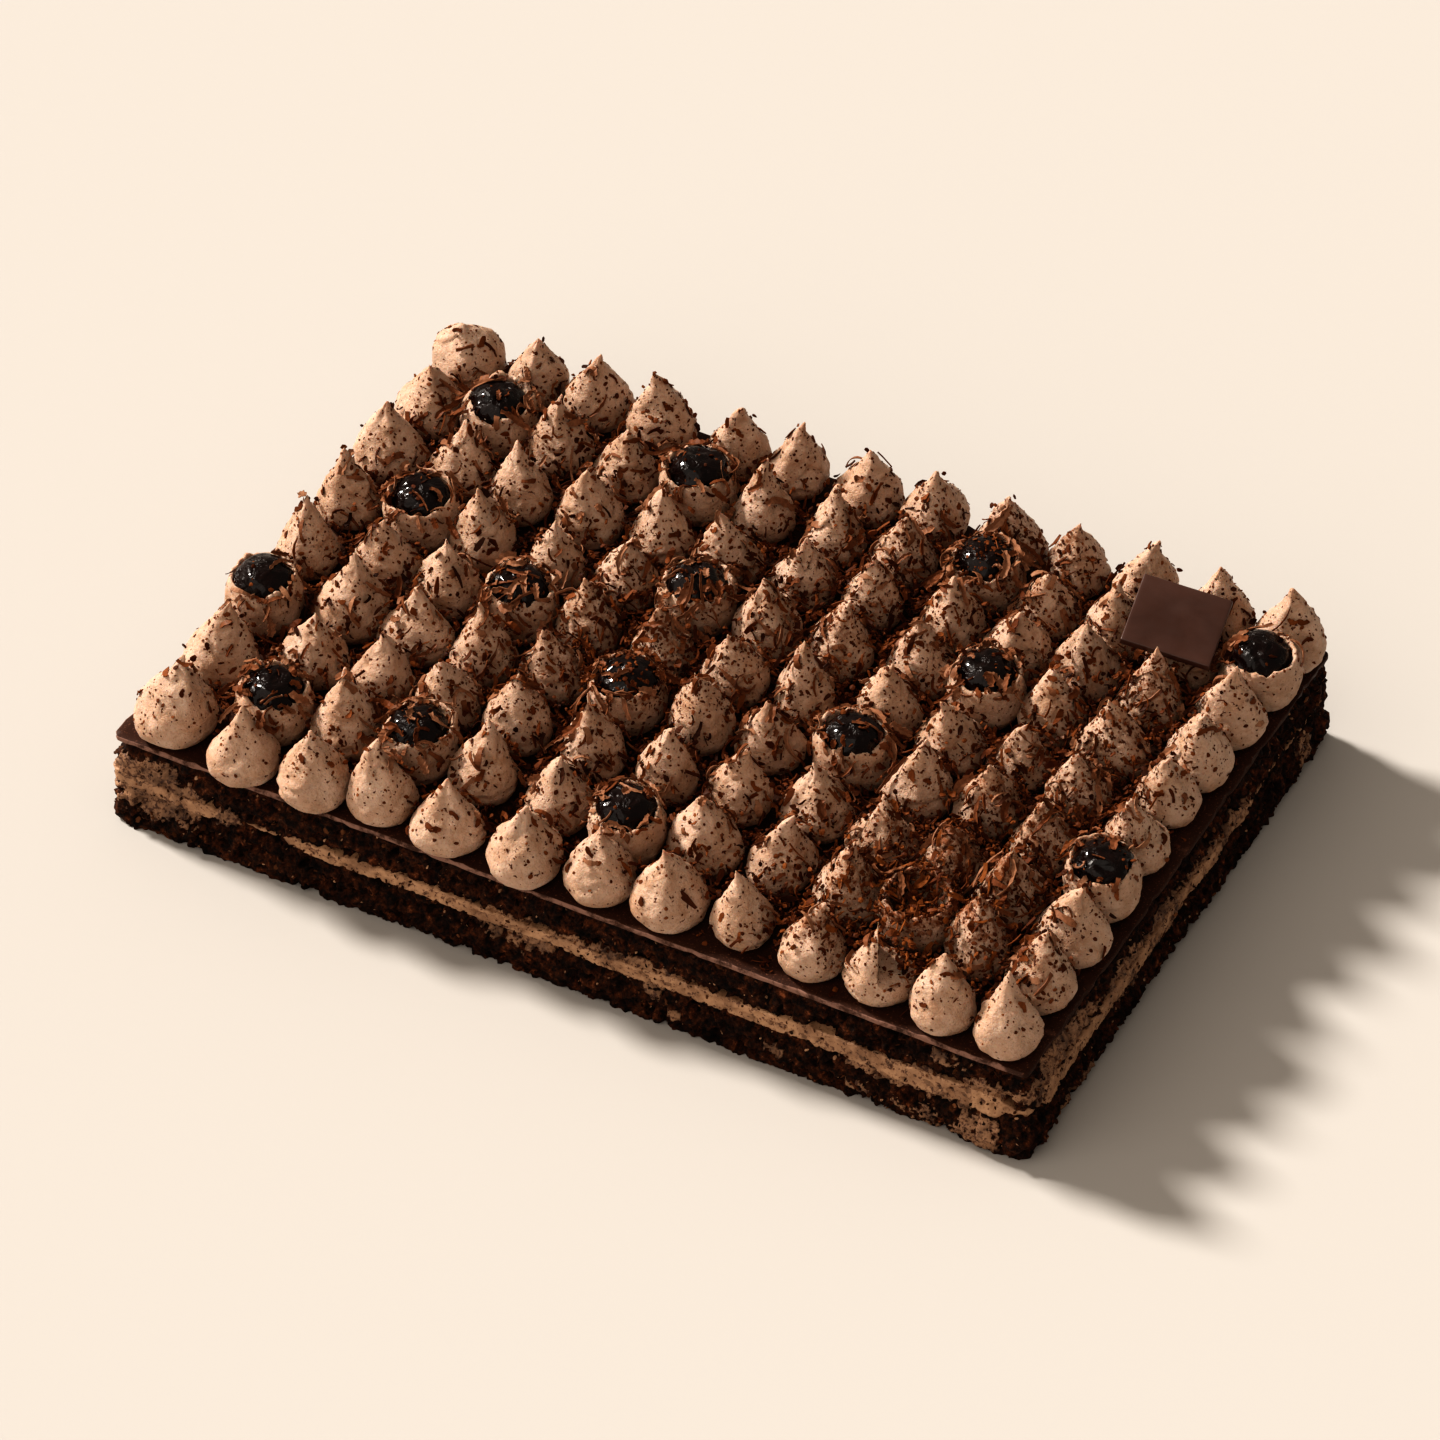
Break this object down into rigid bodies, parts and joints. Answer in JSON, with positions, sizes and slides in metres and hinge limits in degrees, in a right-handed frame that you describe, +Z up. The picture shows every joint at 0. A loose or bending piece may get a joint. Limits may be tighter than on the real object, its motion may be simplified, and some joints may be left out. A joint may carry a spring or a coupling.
{
  "type": "chocolate cake",
  "caption": "Rectangular chocolate layer cake with cream filling, a chocolate plate on top, rows of piped chocolate cream kisses, dark cherries and chocolate shavings.",
  "frame": {"origin": "centre of the underside of the cake", "axes": "+X along the long side, +Y from the long front face to the back, +Z up"},
  "size_m": [0.3652, 0.2503, 0.0713],
  "materials": {
    "sponge": "crumbly open dark chocolate sponge, fully matt",
    "cream": "smooth piped chocolate cream with a soft sheen",
    "chocolate": "chocolate, satin with a thin cocoa dusting",
    "square": "moulded dark milk chocolate, smooth satin",
    "cherry": "nearly black cherry in syrup, wet gloss"
  },
  "bodies": {
    "root": {"sponge_bottom": "sponge", "cream_layer": "cream", "sponge_top": "sponge", "chocolate_plate": "chocolate", "kiss_row_01": "cream", "kiss_row_02": "cream", "kiss_row_03": "cream", "kiss_row_04": "cream", "kiss_row_05": "cream", "kiss_row_06": "cream", "kiss_row_07": "cream", "kiss_row_08": "cream", "kiss_row_09": "cream", "kiss_row_10": "cream", "kiss_row_11": "cream", "kiss_row_12": "cream", "kiss_row_13": "cream", "cherry_01": "cherry", "cherry_02": "cherry", "cherry_03": "cherry", "cherry_04": "cherry", "cherry_05": "cherry", "cherry_06": "cherry", "cherry_07": "cherry", "cherry_08": "cherry", "cherry_09": "cherry", "cherry_10": "cherry", "cherry_11": "cherry", "cherry_12": "cherry", "cherry_13": "cherry", "cherry_14": "cherry", "cherry_15": "cherry", "chocolate_square": "square"}
  },
  "joints": []
}
